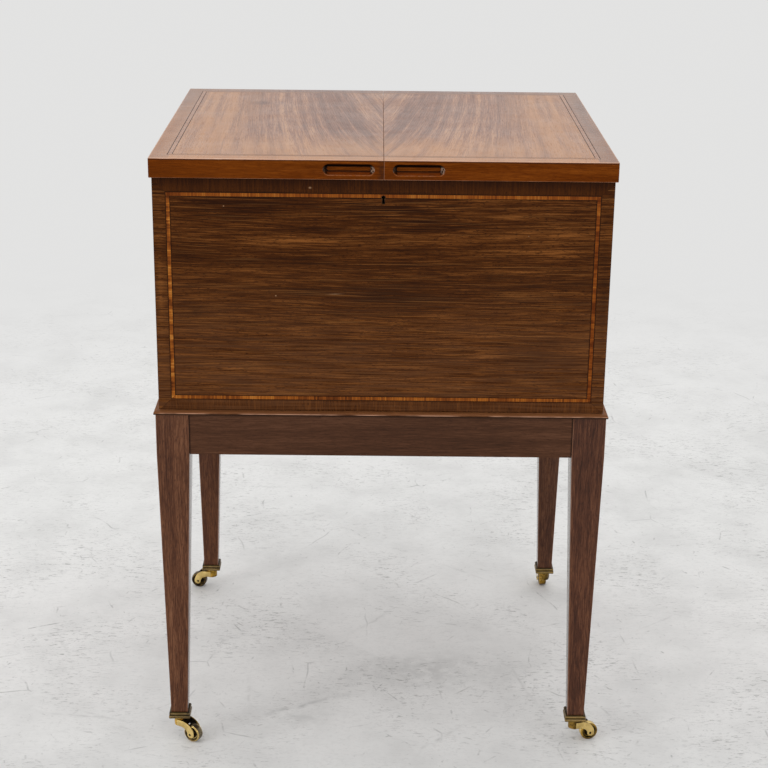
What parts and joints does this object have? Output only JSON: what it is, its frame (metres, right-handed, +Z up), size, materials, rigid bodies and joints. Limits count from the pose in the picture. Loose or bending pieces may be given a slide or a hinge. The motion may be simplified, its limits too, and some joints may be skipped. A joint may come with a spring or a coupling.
{
  "type": "drinks cabinet",
  "caption": "Box-shaped drinks cabinet on a stand with tapering legs and brass casters; a split, side-hinged lid opens over cells for bottles.",
  "frame": {"origin": "on the floor under the middle of the stand", "axes": "+Z up, the front with the keyhole towards -Y, +X to the right as seen from the front"},
  "size_m": [0.6334, 0.5478, 0.845],
  "materials": {
    "stand_mahogany": "polished",
    "moulding_mahogany": "polished",
    "case_mahogany": "polished",
    "front_banding": "polished",
    "lid_banding": "polished",
    "lid_faded_mahogany": "polished and faded",
    "lid_edge_mahogany": "polished",
    "carcase_wood": "plain",
    "hinge_brass": "worn",
    "lock_brass": "worn",
    "caster_brass": "worn",
    "tarnished_brass": "tarnished",
    "lock_steel": "filed"
  },
  "bodies": {
    "cabinet": {"leg_front_left": "stand_mahogany", "leg_front_right": "stand_mahogany", "leg_back_left": "stand_mahogany", "leg_back_right": "stand_mahogany", "rail_front": "stand_mahogany", "rail_back": "stand_mahogany", "rail_left": "stand_mahogany", "rail_right": "stand_mahogany", "stand_moulding": "moulding_mahogany", "case_front": "case_mahogany", "case_back": "case_mahogany", "case_left_side": "case_mahogany", "case_right_side": "case_mahogany", "case_bottom": "carcase_wood", "case_front_inlay": "front_banding", "divider_long_1": "carcase_wood", "divider_long_2": "carcase_wood", "divider_cross_1": "carcase_wood", "divider_cross_2": "carcase_wood", "divider_cross_3": "carcase_wood", "hinge_left_front_case_leaf": "hinge_brass", "hinge_left_front_pin": "hinge_brass", "hinge_left_back_case_leaf": "hinge_brass", "hinge_left_back_pin": "hinge_brass", "hinge_right_front_case_leaf": "hinge_brass", "hinge_right_front_pin": "hinge_brass", "hinge_right_back_case_leaf": "hinge_brass", "hinge_right_back_pin": "hinge_brass", "lock_case": "lock_brass", "keyhole_escutcheon": "lock_brass", "caster_front_left_socket": "tarnished_brass", "caster_front_right_socket": "tarnished_brass", "caster_back_left_socket": "tarnished_brass", "caster_back_right_socket": "tarnished_brass"},
    "lid_left": {"lid_left_panel": "lid_faded_mahogany", "lid_left_edging": "lid_edge_mahogany", "lid_left_inlay": "lid_banding", "hinge_left_front_lid_leaf": "hinge_brass", "hinge_left_back_lid_leaf": "hinge_brass", "lock_striker_left": "lock_brass"},
    "lid_right": {"lid_right_panel": "lid_faded_mahogany", "lid_right_edging": "lid_edge_mahogany", "lid_right_inlay": "lid_banding", "hinge_right_front_lid_leaf": "hinge_brass", "hinge_right_back_lid_leaf": "hinge_brass", "lock_striker_right": "lock_brass"},
    "lock_bolt": {"lock_bolt": "lock_steel"},
    "caster_front_left_swivel": {"caster_front_left_fork": "caster_brass", "caster_front_left_axle": "tarnished_brass"},
    "caster_front_left_wheel": {"caster_front_left_wheel": "tarnished_brass"},
    "caster_front_right_swivel": {"caster_front_right_fork": "caster_brass", "caster_front_right_axle": "tarnished_brass"},
    "caster_front_right_wheel": {"caster_front_right_wheel": "tarnished_brass"},
    "caster_back_left_swivel": {"caster_back_left_fork": "caster_brass", "caster_back_left_axle": "tarnished_brass"},
    "caster_back_left_wheel": {"caster_back_left_wheel": "tarnished_brass"},
    "caster_back_right_swivel": {"caster_back_right_fork": "caster_brass", "caster_back_right_axle": "tarnished_brass"},
    "caster_back_right_wheel": {"caster_back_right_wheel": "tarnished_brass"}
  },
  "joints": [
    {"name": "lid_left_hinge", "type": "hinge", "parent": "cabinet", "child": "lid_left", "pos_m": [-0.297, 0, 0.81935], "axis": [0, -1, 0], "range_deg": [0, 98]},
    {"name": "lid_right_hinge", "type": "hinge", "parent": "cabinet", "child": "lid_right", "pos_m": [0.297, 0, 0.81935], "axis": [0, 1, 0], "range_deg": [0, 98]},
    {"name": "lock_bolt_slide", "type": "slide", "parent": "cabinet", "child": "lock_bolt", "axis": [1, 0, 0], "range_m": [0, 0.0055]},
    {"name": "caster_front_left_turn", "type": "hinge", "parent": "cabinet", "child": "caster_front_left_swivel", "pos_m": [-0.2819, -0.2449, 0.03], "axis": [0, 0, 1], "continuous": true},
    {"name": "caster_front_left_roll", "type": "hinge", "parent": "caster_front_left_swivel", "child": "caster_front_left_wheel", "pos_m": [-0.26285, -0.2559, 0.01262], "axis": [0.5, 0.866, 0], "continuous": true},
    {"name": "caster_front_right_turn", "type": "hinge", "parent": "cabinet", "child": "caster_front_right_swivel", "pos_m": [0.2819, -0.2449, 0.03], "axis": [0, 0, 1], "continuous": true},
    {"name": "caster_front_right_roll", "type": "hinge", "parent": "caster_front_right_swivel", "child": "caster_front_right_wheel", "pos_m": [0.30325, -0.23958, 0.01262], "axis": [-0.2419, 0.9703, 0], "continuous": true},
    {"name": "caster_back_left_turn", "type": "hinge", "parent": "cabinet", "child": "caster_back_left_swivel", "pos_m": [-0.2819, 0.2449, 0.03], "axis": [0, 0, 1], "continuous": true},
    {"name": "caster_back_left_roll", "type": "hinge", "parent": "caster_back_left_swivel", "child": "caster_back_left_wheel", "pos_m": [-0.30357, 0.24872, 0.01262], "axis": [-0.1736, -0.9848, 0], "continuous": true},
    {"name": "caster_back_right_turn", "type": "hinge", "parent": "cabinet", "child": "caster_back_right_swivel", "pos_m": [0.2819, 0.2449, 0.03], "axis": [0, 0, 1], "continuous": true},
    {"name": "caster_back_right_roll", "type": "hinge", "parent": "caster_back_right_swivel", "child": "caster_back_right_wheel", "pos_m": [0.2819, 0.2669, 0.01262], "axis": [-1, 0, 0], "continuous": true}
  ]
}
